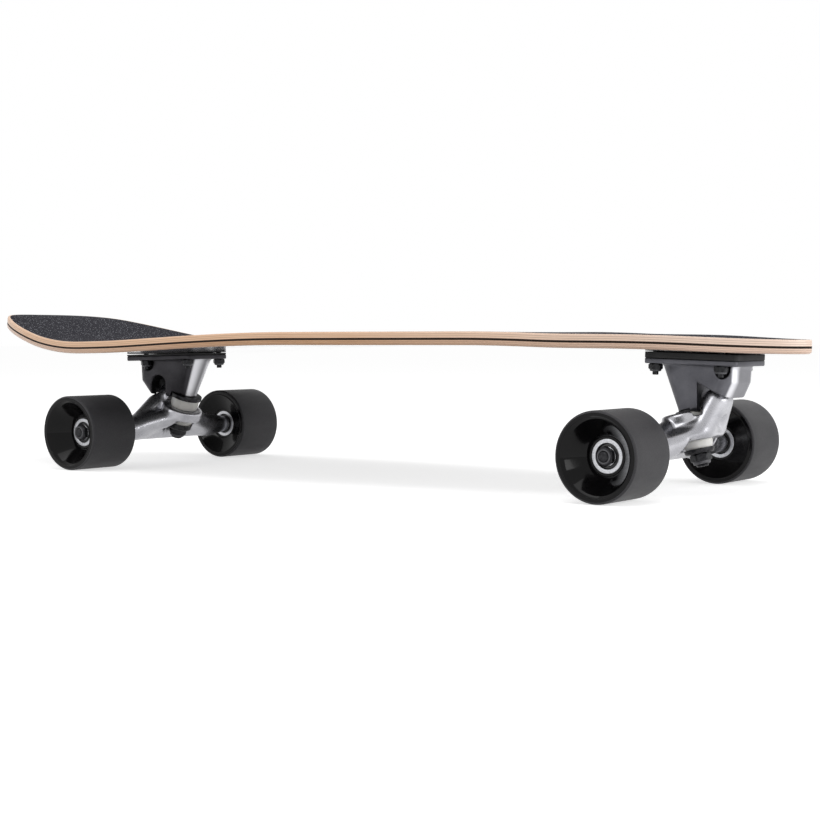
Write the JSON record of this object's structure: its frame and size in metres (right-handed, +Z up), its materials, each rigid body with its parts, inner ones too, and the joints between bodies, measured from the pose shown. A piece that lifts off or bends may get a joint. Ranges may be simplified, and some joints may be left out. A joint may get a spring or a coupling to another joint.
{
  "type": "surf skateboard",
  "caption": "Surf skateboard with a laminated kick-tail deck, two carving trucks that steer against soft bushings, and wide free-rolling wheels.",
  "frame": {"origin": "on the ground under the middle of the deck", "axes": "+X towards the nose, +Y to the rider's left, +Z up"},
  "size_m": [0.83, 0.246, 0.1424],
  "materials": {
    "tan_maple": "clear lacquer, dark stained underside",
    "black_core": "dyed veneer",
    "pale_maple": "clear lacquer",
    "grip_grit": "coarse dark grit",
    "riser_rubber": "matte",
    "gunmetal_cast": "satin cast, dark coated",
    "silver_cast": "fine cast",
    "black_steel": "black zinc",
    "bright_steel": "turned",
    "white_urethane": "satin",
    "black_urethane": "smooth",
    "cup_rubber": "matte"
  },
  "bodies": {
    "board": {"deck_bottom_plies": "tan_maple", "deck_core_ply": "black_core", "deck_top_plies": "pale_maple", "grip_tape": "grip_grit", "front_riser_pad": "riser_rubber", "front_baseplate": "gunmetal_cast", "front_pivot_cup": "cup_rubber", "front_kingpin": "black_steel", "front_kingpin_nut": "black_steel", "front_upper_washer": "black_steel", "front_upper_bushing": "white_urethane", "front_lower_bushing": "white_urethane", "front_lower_washer": "black_steel", "front_deck_bolt_1": "black_steel", "front_deck_bolt_2": "black_steel", "front_deck_bolt_3": "black_steel", "front_deck_bolt_4": "black_steel", "front_deck_nut_1": "black_steel", "front_deck_nut_2": "black_steel", "front_deck_nut_3": "black_steel", "front_deck_nut_4": "black_steel", "rear_riser_pad": "riser_rubber", "rear_baseplate": "gunmetal_cast", "rear_pivot_cup": "cup_rubber", "rear_kingpin": "black_steel", "rear_kingpin_nut": "black_steel", "rear_upper_washer": "black_steel", "rear_upper_bushing": "white_urethane", "rear_lower_bushing": "white_urethane", "rear_lower_washer": "black_steel", "rear_deck_bolt_1": "black_steel", "rear_deck_bolt_2": "black_steel", "rear_deck_bolt_3": "black_steel", "rear_deck_bolt_4": "black_steel", "rear_deck_nut_1": "black_steel", "rear_deck_nut_2": "black_steel", "rear_deck_nut_3": "black_steel", "rear_deck_nut_4": "black_steel"},
    "front_hanger_set": {"front_hanger": "silver_cast", "front_axle": "bright_steel", "front_left_axle_nut": "black_steel", "front_right_axle_nut": "black_steel"},
    "rear_hanger_set": {"rear_hanger": "silver_cast", "rear_axle": "bright_steel", "rear_left_axle_nut": "black_steel", "rear_right_axle_nut": "black_steel"},
    "front_left_wheel_set": {"front_left_wheel": "black_urethane", "front_left_outer_bearing": "bright_steel", "front_left_inner_bearing": "bright_steel"},
    "front_right_wheel_set": {"front_right_wheel": "black_urethane", "front_right_outer_bearing": "bright_steel", "front_right_inner_bearing": "bright_steel"},
    "rear_left_wheel_set": {"rear_left_wheel": "black_urethane", "rear_left_outer_bearing": "bright_steel", "rear_left_inner_bearing": "bright_steel"},
    "rear_right_wheel_set": {"rear_right_wheel": "black_urethane", "rear_right_outer_bearing": "bright_steel", "rear_right_inner_bearing": "bright_steel"}
  },
  "joints": [
    {"name": "front_steer", "type": "hinge", "parent": "board", "child": "front_hanger_set", "pos_m": [0.32429, 0, 0.04504], "axis": [0.5954, 0, 0.8034], "range_deg": [-20, 20], "stiffness_Nm_per_rad": 40, "deforming": ["front_upper_bushing", "front_lower_bushing"]},
    {"name": "rear_steer", "type": "hinge", "parent": "board", "child": "rear_hanger_set", "pos_m": [-0.21547, 0, 0.04823], "axis": [-0.6571, 0, 0.7538], "range_deg": [-15, 15], "stiffness_Nm_per_rad": 60, "deforming": ["rear_upper_bushing", "rear_lower_bushing"]},
    {"name": "front_left_wheel_spin", "type": "hinge", "parent": "front_hanger_set", "child": "front_left_wheel_set", "pos_m": [0.3065, 0.096, 0.0332], "axis": [0, 1, 0], "continuous": true},
    {"name": "front_right_wheel_spin", "type": "hinge", "parent": "front_hanger_set", "child": "front_right_wheel_set", "pos_m": [0.3065, -0.096, 0.0332], "axis": [0, 1, 0], "continuous": true},
    {"name": "rear_left_wheel_spin", "type": "hinge", "parent": "rear_hanger_set", "child": "rear_left_wheel_set", "pos_m": [-0.2365, 0.096, 0.0332], "axis": [0, 1, 0], "continuous": true},
    {"name": "rear_right_wheel_spin", "type": "hinge", "parent": "rear_hanger_set", "child": "rear_right_wheel_set", "pos_m": [-0.2365, -0.096, 0.0332], "axis": [0, 1, 0], "continuous": true}
  ]
}
